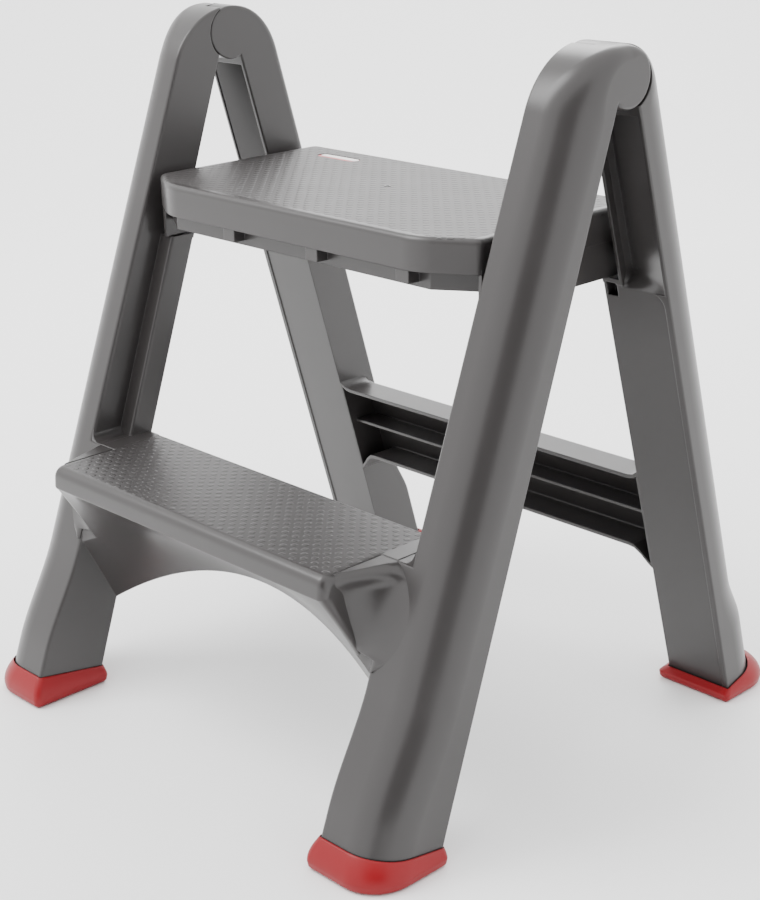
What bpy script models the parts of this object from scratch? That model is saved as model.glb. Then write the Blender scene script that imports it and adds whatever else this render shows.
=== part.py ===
"""Two-step folding stool: two moulded leg frames hinged at the top, a lifting top step, foot caps.

Metres, +Z up. X runs across the stool, -Y is the side of the low step, the floor is Z = 0.
"""
import bpy
import bmesh
from math import atan, atan2, cos, hypot, pi, radians, sin, sqrt

# ---- overall layout -------------------------------------------------------------------------
PIVOT_Y, PIVOT_Z = 0.0205, 0.5415     # line of the top hinge
LOBE_R = 0.0225                       # round hinge lobes; the stool is PIVOT_Z + LOBE_R high
LEG_OUT = 0.239                       # outer faces of the legs, from the centre plane
LEG_IN = 0.1925                       # inner faces beside the top step
LEG_IN_LOW = 0.177                    # inner faces of the pads and of the lower legs
LEDGE_Z = PIVOT_Z - 0.1608             # top of the pads, the ledges that carry the top step
PAD_DEPTH = 0.024                     # of the front legs' pads, from the open side
WALL = 0.0035
GAP = 0.0003                          # between parts that touch
LAP_X = 0.213                         # plane where the two lobes of a hinge meet
LAP_PLAY = 0.0006                     # radial play around a lobe
HORN_TIP = 0.011                      # blunt end of the horn that wraps over the other lobe

# each frame's leg: side (-1 front, +1 rear), distance of its two long faces from the hinge line
# at hinge height, their slopes, and the outward kick near the foot
FRONT = dict(side=-1, face=0.0536, face_slope=0.370, open=0.0075, open_slope=0.347,
             kick=0.010, kick_top=0.128, kick_end=0.046, corner=0.033,
             bulge=(0.347 * PIVOT_Z + 0.0011, 0.370 * PIVOT_Z + 0.06435), rim=(0.0138, 0.175))
REAR = dict(side=1, face=0.0485, face_slope=0.290, open=0.0038, open_slope=0.290,
            kick=0.008, kick_top=0.114, kick_end=0.072, corner=0.034,
            bulge=(0.290 * PIVOT_Z - 0.00653, 0.290 * PIVOT_Z + 0.06647), rim=(0.0110, 0.270))
EDGE_R = 0.003                        # small inner corner of the legs
CHANNEL_TOP = PIVOT_Z - 0.0425
PANEL_TOP = LEDGE_Z - 0.0037           # below this the legs are closed on their open side too

# ---- lower step -----------------------------------------------------------------------------
STEP_TOP = 0.216
STEP_NOSE_Y = -0.2135 - FRONT["face_slope"] * (PIVOT_Z - 0.5415)   # keeps its reach ahead of the legs
STEP_LIP = 0.019                      # height of the rounded front edge
STEP_END = 0.165                      # end faces in front of the legs
STEP_HALF = 0.1785                    # end of the part between the legs
ARCH_MID, ARCH_END = 0.135, 0.073     # lower edge of the apron at the middle and at the legs
STEP_RIBS = (-0.118, -0.059, 0.0, 0.059, 0.118)

# ---- crossbar of the rear frame ---------------------------------------------------------------
BAR_LOW, BAR_HIGH = 0.129, 0.202
BAR_DEPTH = 0.036
BAR_FLARE = 0.0055, 0.0165            # upper and lower flare at the legs
BAR_RIB_Z = 0.165

# ---- top step -------------------------------------------------------------------------------
TOP_Z = LEDGE_Z + 0.0543
TOP_HALF = 0.183
TOP_FRONT, TOP_REAR = -0.0965, 0.1045
TOP_CHAMFER_X, TOP_CHAMFER_Y = 0.142, -0.0715
FASCIA_Z = TOP_Z - 0.026               # lower edge of the front and of the rear edge
BAND_Y, BAND_Z = -0.0845, TOP_Z - 0.040  # set-back band behind the finger grip
SKIRT_Z = LEDGE_Z + GAP
SKIRT_CORNER = 0.021
GRIP_RIBS = (-0.066, 0.031, 0.128)
STEP_PIN_Y, STEP_PIN_Z = 0.0835, LEDGE_Z + 0.0243
STEP_PIN_R, STEP_PIN_HEAD = 0.004, 0.0075
HINGE_PIN_R = 0.005
BOSS_R = 0.009
PIN_PLAY = 0.00015
LABEL = (-0.121, 0.0755, 0.048, 0.012)  # centre x, centre y, length, width
LABEL_DEPTH = 0.0013

# ---- foot caps ------------------------------------------------------------------------------
FOOT_SOLE = 0.004
LEG_BOTTOM = FOOT_SOLE + GAP
FOOT_PLAY = 0.0006                    # between cap and leg
FOOT_RIM = 0.0017                     # how far the rim stands proud of the leg
FOOT_BULGE_Z = 0.009
FOOT_IN, FOOT_OUT = 0.1700, 0.2440    # sides of the cap at its widest

PLASTIC = (0.155, 0.148, 0.146)
RED = (0.62, 0.035, 0.05)


def material(name, rgb, rough, metal=0.0):
    mat = bpy.data.materials.new(name)
    mat.use_nodes = True
    bsdf = mat.node_tree.nodes["Principled BSDF"]
    bsdf.inputs["Base Color"].default_value = (*rgb, 1)
    bsdf.inputs["Roughness"].default_value = rough
    bsdf.inputs["Metallic"].default_value = metal
    return mat


def mesh_object(name, bm, mat=None):
    bmesh.ops.remove_doubles(bm, verts=bm.verts, dist=2e-6)
    bmesh.ops.dissolve_degenerate(bm, dist=2e-6, edges=bm.edges)
    bmesh.ops.recalc_face_normals(bm, faces=bm.faces)
    mesh = bpy.data.meshes.new(name)
    bm.to_mesh(mesh)
    bm.free()
    obj = bpy.data.objects.new(name, mesh)
    bpy.context.scene.collection.objects.link(obj)
    if mat:
        mesh.materials.append(mat)
    return obj


def skin(rings):
    """Closed body through rings of points that all have the same number of points."""
    bm = bmesh.new()
    loops = [[bm.verts.new(p) for p in ring] for ring in rings]
    n = len(loops[0])
    for a, b in zip(loops, loops[1:]):
        for i in range(n):
            j = (i + 1) % n
            bm.faces.new((a[i], a[j], b[j], b[i]))
    bm.faces.new(loops[0])
    bm.faces.new(loops[-1])
    return bm


def combine(target, other, how):
    mod = target.modifiers.new("cut", "BOOLEAN")
    mod.solver = "EXACT"
    mod.operation = how
    mod.object = other
    deps = bpy.context.evaluated_depsgraph_get()
    mesh = bpy.data.meshes.new_from_object(target.evaluated_get(deps))
    target.modifiers.clear()
    bm = bmesh.new()
    bm.from_mesh(mesh)
    bmesh.ops.remove_doubles(bm, verts=bm.verts, dist=2e-6)
    bmesh.ops.dissolve_degenerate(bm, dist=2e-6, edges=bm.edges)
    rim = [e for e in bm.edges if len(e.link_faces) == 1]
    if rim:
        bmesh.ops.holes_fill(bm, edges=rim, sides=8)
    bm.to_mesh(mesh)
    bm.free()
    old = target.data
    mats = [m for m in old.materials]
    target.data = mesh
    mesh.materials.clear()
    for m in mats:
        mesh.materials.append(m)
    bpy.data.meshes.remove(old)
    bpy.data.objects.remove(other)


def join(target, *others):
    for o in others:
        combine(target, o, "UNION")


def cut(target, *others):
    for o in others:
        combine(target, o, "DIFFERENCE")


def mirrored(obj, name):
    """Copy of a body reflected in the centre plane X = 0."""
    bm = bmesh.new()
    bm.from_mesh(obj.data)
    for v in bm.verts:
        v.co.x = -v.co.x
    bmesh.ops.reverse_faces(bm, faces=bm.faces)
    return mesh_object(name, bm)


def cylinder(name, x0, x1, y, z, r, n=32, mat=None):
    turns = [2 * pi * (i + 0.37) / n for i in range(n)]
    ring = [(y + r * cos(a), z + r * sin(a)) for a in turns]
    bm = skin([[(x, *p) for p in ring] for x in (x0, x1)])
    return mesh_object(name, bm, mat)


def stepped_pin(name, stations, y, z, mat, n=24):
    """Round pin along X through (x, radius) stations."""
    rings = [[(x, y + r * cos(2 * pi * i / n), z + r * sin(2 * pi * i / n)) for i in range(n)]
             for x, r in stations]
    return mesh_object(name, skin(rings), mat)


def box(name, x0, x1, y0, y1, z0, z1):
    return prism(name, [(x0, y0), (x1, y0), (x1, y1), (x0, y1)], z0, z1)


def prism(name, outline, z0, z1):
    return mesh_object(name, skin([[(x, y, z) for x, y in outline] for z in (z0, z1)]))


def slab(name, outline, x_in, x_out, r_in, r_out, n_in=3, n_out=6):
    """Prism along X over a (y, z) outline; r_in and r_out round each edge at its two ends."""
    n = len(outline)
    area = sum(outline[i - 1][0] * outline[i][1] - outline[i][0] * outline[i - 1][1]
               for i in range(n))
    turn = 1 if area > 0 else -1
    inward = []
    for i in range(n):
        (ay, az), (by, bz) = outline[i], outline[(i + 1) % n]
        length = hypot(by - ay, bz - az)
        inward.append((-(bz - az) * turn / length, (by - ay) * turn / length))

    def ring(x_end, way, radii, angle):
        pts = []
        for i, (y, z) in enumerate(outline):
            (py, pz), (qy, qz) = inward[i - 1], inward[i]
            rp, rq = radii[i - 1], radii[i]
            dp, dq = rp * (1 - cos(angle)), rq * (1 - cos(angle))
            det = py * qz - pz * qy
            if abs(det) > 0.4:
                oy, oz = (dp * qz - dq * pz) / det, (py * dq - qy * dp) / det
                r = max(rp, rq)
            else:
                my, mz = py + qy, pz + qz
                k = (dp + dq) / (my * my + mz * mz)
                oy, oz = my * k, mz * k
                r = (rp + rq) / 2
            pts.append((x_end + way * r * (1 - sin(angle)), y + oy, z + oz))
        return pts

    rings = [ring(x_in, 1, r_in, pi / 2 * (1 - k / n_in)) for k in range(n_in + 1)]
    rings += [ring(x_out, -1, r_out, pi / 2 * k / n_out) for k in range(n_out + 1)]
    return mesh_object(name, skin(rings))


def ease(t):
    t = min(max(t, 0.0), 1.0)
    return t * t * (3 - 2 * t)


def face_u(leg, z):
    """Distance of the smooth outer long face from the hinge line at height z."""
    kick = leg["kick"] * ease((leg["kick_top"] - z) / (leg["kick_top"] - leg["kick_end"]))
    return leg["face"] + leg["face_slope"] * (PIVOT_Z - z) + kick


def open_u(leg, z):
    return leg["open"] + leg["open_slope"] * (PIVOT_Z - z)


def face_y(leg, z):
    return PIVOT_Y + leg["side"] * face_u(leg, z)


def open_y(leg, z):
    return PIVOT_Y + leg["side"] * open_u(leg, z)


def face_heights(leg, z0, z1):
    steps = [leg["kick_end"] + (leg["kick_top"] - leg["kick_end"]) * i / 7 for i in range(8)]
    return [z0] + [z for z in steps if z0 + 0.002 < z < z1 - 0.002] + [z1]


def leg_outline(leg, r_face, r_lobe, r_open):
    """Side outline of a whole leg with its arch and lobe, and the rounding of every edge."""
    beta = atan(leg["face_slope"])
    arch_r = (leg["face"] * cos(beta) - LOBE_R * sin(beta)) / (1 - sin(beta))
    centre = LOBE_R - arch_r
    tangent_z = PIVOT_Z + centre + arch_r * sin(beta)
    pts = [(face_u(leg, z), z) for z in face_heights(leg, LEG_BOTTOM, tangent_z)]
    radii = [r_face] * (len(pts) - 1)
    arch_n = 9
    for i in range(1, arch_n + 1):
        a = beta + (pi / 2 - beta) * i / arch_n
        pts.append((arch_r * cos(a), PIVOT_Z + centre + arch_r * sin(a)))
        radii.append(r_face + (r_lobe - r_face) * ease((i - 1) / (arch_n - 2)))
    gamma = atan(leg["open_slope"])
    off = leg["open"] * cos(gamma)
    run = sqrt(LOBE_R ** 2 - off ** 2)
    neck = (off * cos(gamma) + run * sin(gamma), off * sin(gamma) - run * cos(gamma))
    end = atan2(neck[1], neck[0]) + 2 * pi
    lobe_n = 22
    for i in range(1, lobe_n + 1):
        a = pi / 2 + (end - pi / 2) * i / lobe_n
        pts.append((LOBE_R * cos(a), PIVOT_Z + LOBE_R * sin(a)))
        radii.append(r_lobe)
    for z in (CHANNEL_TOP, LEDGE_Z, LEG_BOTTOM):
        pts.append((open_u(leg, z), z))
        radii.append(r_open)
    radii.append(0.0)
    return [(PIVOT_Y + leg["side"] * u, z) for u, z in pts], radii


def band_outline(leg, z0, z1, inset, past):
    """Part of a leg's side outline between two heights, for the low inner wall and hollows."""
    heights = face_heights(leg, z0, z1)
    tilt = 1 / cos(atan(leg["face_slope"]))
    pts = [(face_u(leg, z) - inset * tilt, z) for z in heights]
    pts += [(open_u(leg, z) - past, z) for z in (z1, z0)]
    edges = len(heights) - 1
    return [(PIVOT_Y + leg["side"] * u, z) for u, z in pts], edges


def leg_band(name, leg, z0, z1, x0, x1, inset, past, r_in, r_out, n_out=6):
    outline, edges = band_outline(leg, z0, z1, inset, past)
    rest = len(outline) - edges
    return slab(name, outline, x0, x1, [r_in] * edges + [0.0] * rest,
                [r_out] * edges + [0.0] * rest, 3, n_out)


def rim_z(leg, u):
    """Height of the tilted rim of a foot cap at distance u from the hinge line."""
    low, slope = leg["rim"]
    return low + slope * (u - open_u(leg, low))


def foot_ring(leg, h, x0, x1, u0, u1, r_big, r_small, flat=None, n=6):
    """Rounded four-sided ring, at fraction h of the rim's height or flat at a given height."""
    stretch = 1 / cos(atan(leg["face_slope"]))
    corners = [(x1, u1, r_big, 0), (x1, u0, r_small, -90), (x0, u0, r_small, 180),
               (x0, u1, r_small + 0.001, 90)]
    pts = []
    for x, u, r, start in corners:
        ru = r * stretch
        cx = x - r if x == x1 else x + r
        cu = u - ru if u == u1 else u + ru
        for i in range(n + 1):
            a = radians(start + 90 * (1 - i / n))
            pu = cu + ru * sin(a)
            z = h * rim_z(leg, pu) if flat is None else flat
            pts.append((cx + r * cos(a), PIVOT_Y + leg["side"] * pu, z))
    return pts


def foot_cap(name, leg, mat):
    """Cap flaring from its tilted rim to a bulge and rounding under to the sole."""
    low, slope = leg["rim"]
    u0 = open_u(leg, low)
    u1 = face_u(leg, low + slope * 0.06)
    b0, b1 = leg["bulge"]
    rim = (LEG_IN_LOW - FOOT_RIM, LEG_OUT + FOOT_RIM, u0 - FOOT_RIM, u1 + FOOT_RIM)
    bulge = (FOOT_IN, FOOT_OUT, b0, b1)
    big, small = leg["corner"], 0.0045
    rings = []
    for z, d in ((0.0, 0.0048), (0.0009, 0.0025), (0.0028, 0.0008)):
        lim = [b + d * way for b, way in zip(bulge, (1, -1, 1, -1))]
        rings.append(foot_ring(leg, 0, *lim, big - d, max(small - d, 0.0012), flat=z))
    for k in range(7):
        w = k / 6
        t = 1 - cos(pi / 2 * w)
        lim = [b + (r - b) * t for b, r in zip(bulge, rim)]
        h0 = FOOT_BULGE_Z * 0.75
        ring = foot_ring(leg, 1, *lim, big + (FOOT_RIM - 0.001) * t, small)
        rings.append([(x, y, h0 + (z - h0) * w if w < 1 else z) for x, y, z in ring])
    lim = [r + 0.0009 * way for r, way in zip(rim, (1, -1, 1, -1))]
    rings.append([(x, y, z + 0.0005)
                  for x, y, z in foot_ring(leg, 1, *lim, big - 0.0009, small - 0.0009)])
    cap = mesh_object(name, skin(rings))
    hollow = []
    for z in (FOOT_SOLE, 0.012, 0.020, 0.032):
        hollow.append(foot_ring(leg, 0, LEG_IN_LOW - FOOT_PLAY, LEG_OUT + FOOT_PLAY,
                                open_u(leg, z) - FOOT_PLAY, face_u(leg, z) + FOOT_PLAY,
                                big * 0.96, 0.0012, flat=z, n=8))
    cut(cap, mesh_object("hollow", skin(hollow)))
    cap.data.materials.append(mat)
    return cap


def pad(name, leg, z0, z1, x0, x1, d, r):
    """Raised pad along the open side of a leg's inner wall, shrunk by d."""
    depth = PAD_DEPTH - d
    pts = [(open_u(leg, z0) + d, z0), (open_u(leg, z0) + depth, z0),
           (open_u(leg, z1) + depth, z1), (open_u(leg, z1) + d, z1)]
    outline = [(PIVOT_Y + leg["side"] * u, z) for u, z in pts]
    return slab(name, outline, x0, x1, [0.0, r, 0.0, 0.0], [0.0] * 4, 3, 1)


def leg_solid(leg):
    """One right-hand leg of a frame, hollow, with its hinge lobe.

    Above the ledge it is a channel open towards the other frame; below it is closed all round
    and open only at the foot end, inside the cap.
    """
    big = leg["corner"]
    outer, radii = leg_outline(leg, big, 0.003, 0.0015)
    inner = leg_outline(leg, EDGE_R, 0.0015, 0.0015)[1]
    body = slab("leg", outer, LEG_IN, LEG_OUT, inner, radii)
    low_top = LEDGE_Z if leg is REAR else STEP_TOP - 0.001
    join(body, leg_band("low", leg, LEG_BOTTOM, low_top, LEG_IN_LOW, LEG_IN + 0.012, 0.0, 0.0,
                        EDGE_R, 0.0, 1))
    inner_big = big - WALL
    cut(body, leg_band("hollow", leg, LEG_BOTTOM - 0.002, low_top - WALL, LEG_IN_LOW + WALL,
                       LEG_OUT - WALL, WALL, -WALL, 0.002, inner_big))
    if leg is FRONT:
        join(body, pad("pad", leg, STEP_TOP - 0.004, LEDGE_Z, LEG_IN_LOW, LEG_IN + 0.0015, 0.0,
                       EDGE_R))
        cut(body, pad("hollow", leg, STEP_TOP + 0.001, LEDGE_Z - WALL, LEG_IN_LOW + WALL,
                      LEG_IN + WALL + 0.001, WALL, 0.0))
    cut(body, leg_band("hollow", leg, low_top - WALL - 0.004, PANEL_TOP, LEG_IN + WALL,
                       LEG_OUT - WALL, WALL, -WALL, 0.002, inner_big),
        leg_band("hollow", leg, PANEL_TOP - 0.002, CHANNEL_TOP, LEG_IN + WALL,
                 LEG_OUT - WALL, WALL, 0.03, 0.002, inner_big))
    lo, hi = (LEG_IN - 0.02, LAP_X + GAP / 2) if leg is FRONT else (LAP_X - GAP / 2, LEG_OUT + 0.02)
    tip = sorted((PIVOT_Y + leg["side"] * HORN_TIP, PIVOT_Y - leg["side"] * 0.035))
    cut(body, box("tip", lo, hi, tip[0], tip[1], PIVOT_Z + 0.012, PIVOT_Z + 0.04))
    cut(body, cylinder("lap", lo, hi, PIVOT_Y, PIVOT_Z, LOBE_R + LAP_PLAY, 60))
    bore = (LAP_X - 0.001, LEG_OUT - 0.008) if leg is FRONT else (LEG_IN + 0.008, LAP_X + 0.001)
    cut(body, cylinder("bore", bore[0], bore[1], PIVOT_Y, PIVOT_Z, HINGE_PIN_R + PIN_PLAY))
    return body


def apron_section(x, d):
    """(y, z) outline of the lower step at station x, shrunk inwards by d."""
    t = abs(x) / STEP_HALF
    z_low = ARCH_MID + (ARCH_END - ARCH_MID) * t * t
    y_low = open_y(FRONT, z_low) - 0.001
    top, nose = STEP_TOP - d, STEP_NOSE_Y + d
    back = open_y(FRONT, STEP_TOP) - 0.005
    r = 0.0085
    pts = [(back, top)]
    for i in range(5):
        a = pi / 2 * (1 + i / 4)
        pts.append((nose + r + r * cos(a), top - r + r * sin(a)))
    lip = (nose - 0.0005, STEP_TOP - STEP_LIP + d * 0.35)
    pts.append(lip)
    # concave sweep from the lip to the arched rear edge, nearly straight at the legs
    sag = 0.014 * (1 - t ** 4)
    end = (y_low, z_low + d * 1.15)
    my, mz = (lip[0] + end[0]) / 2 + sag * 0.6, (lip[1] + end[1]) / 2 + sag * 0.8
    for i in range(1, 7):
        s = i / 6
        a, b, c = (1 - s) ** 2, 2 * s * (1 - s), s * s
        pts.append((a * lip[0] + b * my + c * end[0], a * lip[1] + b * mz + c * end[1]))
    return pts


def clipped(section, d):
    """Lower step section kept behind the long face of the front legs."""
    return [(max(y, face_y(FRONT, z) + 0.003 + d), z) for y, z in section]


def lower_step():
    ends = ((0.0, 0.007), (0.0007, 0.0045), (0.002, 0.0022), (0.0045, 0.0005), (0.007, 0.0))
    stations = [(-STEP_END + x, d) for x, d in ends]
    stations += [(-0.150 + 0.300 * i / 16, 0.0) for i in range(17)]
    stations += [(-x, d) for x, d in reversed(stations[:5])]
    body = mesh_object("step", skin([[(x, *p) for p in apron_section(x, d)]
                                     for x, d in stations]))
    for sx in (1, -1):
        xs = sorted((sx * (STEP_END - 0.008), sx * STEP_END, sx * (STEP_END + 0.006),
                     sx * STEP_HALF))
        join(body, mesh_object("end", skin([[(x, *p) for p in clipped(apron_section(x, 0.0), 0)]
                                            for x in xs])))
    wall = STEP_END - 0.0015
    edges = (-STEP_HALF + 0.0015, -wall) + STEP_RIBS + (wall, STEP_HALF - 0.0015)
    half = 0.00125
    for a, b in zip(edges, edges[1:]):
        x0, x1 = a + half, b - half
        rings = []
        for k in range(4):
            x = x0 + (x1 - x0) * k / 3
            sec = apron_section(x, WALL)
            if min(abs(x0), abs(x1)) > wall:
                sec = clipped(sec, WALL)
            back = sec[0][0] + 0.03
            sec = [(back, sec[0][1])] + sec[1:] + [(back + 0.02, sec[-1][1])]
            rings.append([(x, *p) for p in sec])
        cut(body, mesh_object("cell", skin(rings)))
    return body


def crossbar():
    """Channel between the rear legs, open to the front, with a rib along its middle."""
    def section(x, d, past):
        up = ease((abs(x) - 0.167) / (STEP_HALF - 0.167))
        down = ease((abs(x) - 0.154) / (STEP_HALF - 0.154))
        low = BAR_LOW - BAR_FLARE[1] * down ** 1.6 + d
        high = BAR_HIGH + BAR_FLARE[0] * up ** 1.6 - d
        pts = [(open_y(REAR, low) + 0.001 - past, low)]
        r = max(0.006 - d, 0.002)
        for i in range(4):
            a = -pi / 2 + pi / 2 * i / 3
            z = low + r + r * sin(a)
            pts.append((open_y(REAR, z) + BAR_DEPTH - d - r + r * cos(a), z))
        for i in range(4):
            a = pi / 2 * i / 3
            z = high - r + r * sin(a)
            pts.append((open_y(REAR, z) + BAR_DEPTH - d - r + r * cos(a), z))
        pts.append((open_y(REAR, high) + 0.001 - past, high))
        return pts
    xs = [-STEP_HALF, -0.1755, -0.172, -0.1665, -0.160, -0.154]
    xs += [-x for x in reversed(xs)]
    body = mesh_object("bar", skin([[(x, *p) for p in section(x, 0, 0)] for x in xs]))
    inner = [-STEP_HALF + 0.003] + xs[1:-1] + [STEP_HALF - 0.003]
    cut(body, mesh_object("hollow", skin([[(x, *p) for p in section(x, WALL, 0.03)]
                                          for x in inner])))
    y = open_y(REAR, BAR_RIB_Z)
    join(body, box("rib", -STEP_HALF + 0.001, STEP_HALF - 0.001, y + 0.008, y + BAR_DEPTH - 0.001,
                   BAR_RIB_Z - 0.00125, BAR_RIB_Z + 0.00125))
    return body


def frame(name, leg, bridge, mat):
    right = leg_solid(leg)
    if leg is REAR:
        # boss beside the top step's skirt, and the window in the pad under the ledge
        join(right, cylinder("boss", TOP_HALF + 0.0007, LEG_IN + 0.002, STEP_PIN_Y, STEP_PIN_Z,
                             BOSS_R))
        cut(right, cylinder("bore", TOP_HALF - 0.002, LEG_IN + 0.012, STEP_PIN_Y, STEP_PIN_Z,
                            STEP_PIN_R + PIN_PLAY))
        z = LEDGE_Z - WALL
        cut(right, box("window", LEG_IN_LOW + 0.0025, LEG_IN - 0.003, open_y(REAR, z) - 0.01,
                       open_y(REAR, z) + 0.012, z - 0.011, z))
    left = mirrored(right, "left")
    right.name = name
    join(right, bridge, left)
    right.data.name = name
    right.data.materials.append(mat)
    return right


def top_outline(inset, front=TOP_FRONT, rear=TOP_REAR, corner=0.008):
    """Plan of the top step, from the rear right corner round by the rear edge to the front."""
    h = TOP_HALF - inset
    f, r = front + inset, rear - inset
    cy = TOP_CHAMFER_Y + inset * 0.4 + (front - TOP_FRONT)
    cx = TOP_CHAMFER_X - inset * 0.4
    c = max(corner - inset, 0.002)
    pts = []
    for sx in (1, -1):
        arc = [(sx * (h - c + c * cos(a)), r - c + c * sin(a))
               for a in (pi / 2 * i / 3 for i in range(4))]
        fr = [(sx * h, cy), (sx * cx, f)]
        pts += fr[::-1] + arc if sx > 0 else arc[::-1] + fr
    return pts


def top_step(mat):
    crown = [(0.0045, 0.0), (0.0022, 0.0007), (0.0008, 0.0021), (0.0, 0.0045)]
    rings = [[(x, y, TOP_Z - dz) for x, y in top_outline(d)] for d, dz in crown]
    rings.append([(x, y, FASCIA_Z) for x, y in top_outline(0.0)])
    body = mesh_object("top_step", skin(rings))
    cut(body, prism("hollow", top_outline(WALL), FASCIA_Z - 0.01, TOP_Z - WALL))
    # side skirts that stand on the ledges, with a round rear corner about the pivot pin
    for sx in (1, -1):
        y1 = TOP_REAR - 0.0015
        c = SKIRT_CORNER
        side = [(TOP_CHAMFER_Y + 0.001, FASCIA_Z + 0.004), (TOP_CHAMFER_Y + 0.001, SKIRT_Z)]
        for i in range(9):
            a = -pi / 2 + pi / 2 * i / 8
            side.append((y1 - c + c * cos(a), SKIRT_Z + c + c * sin(a)))
        side.append((y1, FASCIA_Z + 0.004))
        xs = sorted((sx * TOP_HALF - sx * 0.0002, sx * (TOP_HALF - WALL)))
        join(body, mesh_object("skirt", skin([[(x, *p) for p in side] for x in xs])))
    # set-back band: a second wall behind the front edge, running into the skirts
    shift = BAND_Y - TOP_FRONT
    cx, cy = TOP_CHAMFER_X + 0.004, TOP_CHAMFER_Y + shift - 0.006
    h = TOP_HALF - 0.001
    path = [(-h, cy + 0.004), (-cx, BAND_Y), (cx, BAND_Y), (h, cy + 0.004)]
    back = [(x * 0.985, y + WALL) for x, y in path]
    join(body, prism("band", path + back[::-1], BAND_Z, TOP_Z - 0.002))
    # stiffening ribs under the tread and the short ribs of the finger grip
    for x in (-0.108, -0.036, 0.036, 0.108):
        join(body, box("rib", x - 0.001, x + 0.001, BAND_Y + 0.001, TOP_REAR - 0.002,
                       TOP_Z - 0.020, TOP_Z - 0.002))
    for y in (-0.034, 0.014, 0.062):
        join(body, box("rib", -TOP_HALF + 0.002, TOP_HALF - 0.002, y - 0.001, y + 0.001,
                       TOP_Z - 0.016, TOP_Z - 0.0025))
    for x in GRIP_RIBS:
        join(body, box("grip", x - 0.0065, x + 0.0065, TOP_FRONT + 0.0012, BAND_Y + 0.001,
                       BAND_Z + 0.004, TOP_Z - 0.003))
    for sx in (1, -1):
        x0, x1 = sorted((sx * (TOP_HALF - 0.006), sx * (TOP_HALF + 0.002)))
        cut(body, cylinder("bore", x0, x1, STEP_PIN_Y, STEP_PIN_Z, STEP_PIN_R + PIN_PLAY, 24))
    cut(body, prism("slot", pill(LABEL, GAP), TOP_Z - LABEL_DEPTH, TOP_Z + 0.002))
    body.data.materials.append(mat)
    return body


def set_origin(obj, y, z):
    """Put the object's origin on a line along X without moving its body."""
    for v in obj.data.vertices:
        v.co.y -= y
        v.co.z -= z
    obj.location = (0, y, z)


def pill(spec, grow):
    cx, cy, length, width = spec
    r = width / 2 + grow
    run = length / 2 - width / 2
    pts = []
    for sx, start in ((1, -pi / 2), (-1, pi / 2)):
        pts += [(cx + sx * run + r * cos(start + pi * i / 8), cy + r * sin(start + pi * i / 8))
                for i in range(9)]
    return pts


def build():
    for o in list(bpy.data.objects):
        bpy.data.objects.remove(o)
    grey = material("frame_grey", PLASTIC, 0.42)
    red = material("foot_red", RED, 0.45)
    steel = material("pin_steel", (0.55, 0.55, 0.56), 0.35, 0.9)
    pale = material("label_pale", (0.8, 0.78, 0.77), 0.5)

    frame("front_frame", FRONT, lower_step(), grey)
    frame("rear_frame", REAR, crossbar(), grey)
    top_step(grey)
    for leg, where in ((FRONT, "front"), (REAR, "rear")):
        cap = foot_cap(where + "_right_foot", leg, red)
        left = mirrored(cap, where + "_left_foot")
        left.data.materials.append(red)
    label = prism("label_insert", pill(LABEL, 0.0), TOP_Z - LABEL_DEPTH + GAP, TOP_Z - 0.0002)
    label.data.materials.append(pale)
    tip = 0.0008
    for sx, side in ((1, "right"), (-1, "left")):
        a, b = LEG_IN + 0.0085, LEG_OUT - 0.0085
        r = HINGE_PIN_R
        stepped_pin(side + "_hinge_pin", [(sx * x, q) for x, q in
                                          ((a, r - tip), (a + tip, r), (b - tip, r), (b, r - tip))],
                    PIVOT_Y, PIVOT_Z, steel)
        h0 = TOP_HALF - WALL - GAP
        r = STEP_PIN_R
        stepped_pin(side + "_step_pin", [(sx * x, q) for x, q in
                                         ((h0 - 0.003, STEP_PIN_HEAD - tip),
                                          (h0 - 0.003 + tip, STEP_PIN_HEAD), (h0, STEP_PIN_HEAD),
                                          (h0, r), (LEG_IN + 0.008, r), (LEG_IN + 0.009, r - tip))],
                    STEP_PIN_Y, STEP_PIN_Z, steel)
    # everything that swings has its origin on its own hinge line
    for name in ("rear_frame", "rear_right_foot", "rear_left_foot", "right_step_pin",
                 "left_step_pin"):
        set_origin(bpy.data.objects[name], PIVOT_Y, PIVOT_Z)
    for name in ("top_step", "label_insert"):
        set_origin(bpy.data.objects[name], STEP_PIN_Y, STEP_PIN_Z)


build()
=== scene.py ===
"""Two-step folding stool: looks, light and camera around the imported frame."""
import bpy
import bmesh
from math import atan, atan2, cos, hypot, pi, radians, sin, sqrt
from mathutils import Matrix, Vector


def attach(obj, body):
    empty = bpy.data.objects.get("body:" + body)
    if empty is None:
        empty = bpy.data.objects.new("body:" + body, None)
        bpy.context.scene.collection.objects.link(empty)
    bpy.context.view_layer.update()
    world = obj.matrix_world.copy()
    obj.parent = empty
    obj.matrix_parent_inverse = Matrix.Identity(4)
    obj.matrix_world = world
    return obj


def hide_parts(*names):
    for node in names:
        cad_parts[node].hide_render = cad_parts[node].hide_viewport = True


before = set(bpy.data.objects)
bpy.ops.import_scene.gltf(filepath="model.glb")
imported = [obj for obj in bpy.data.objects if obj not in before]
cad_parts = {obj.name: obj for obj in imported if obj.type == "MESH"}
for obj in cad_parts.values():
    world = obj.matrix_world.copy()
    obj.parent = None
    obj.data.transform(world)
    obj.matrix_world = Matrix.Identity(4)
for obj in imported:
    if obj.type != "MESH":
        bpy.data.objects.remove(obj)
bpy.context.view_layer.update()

# ---- overall layout -------------------------------------------------------------------------
PIVOT_Y, PIVOT_Z = 0.0205, 0.5415     # line of the top hinge
LOBE_R = 0.0225                       # round hinge lobes; the stool is PIVOT_Z + LOBE_R high
LEG_OUT = 0.239                       # outer faces of the legs, from the centre plane
LEG_IN = 0.1925                       # inner faces beside the top step
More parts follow.
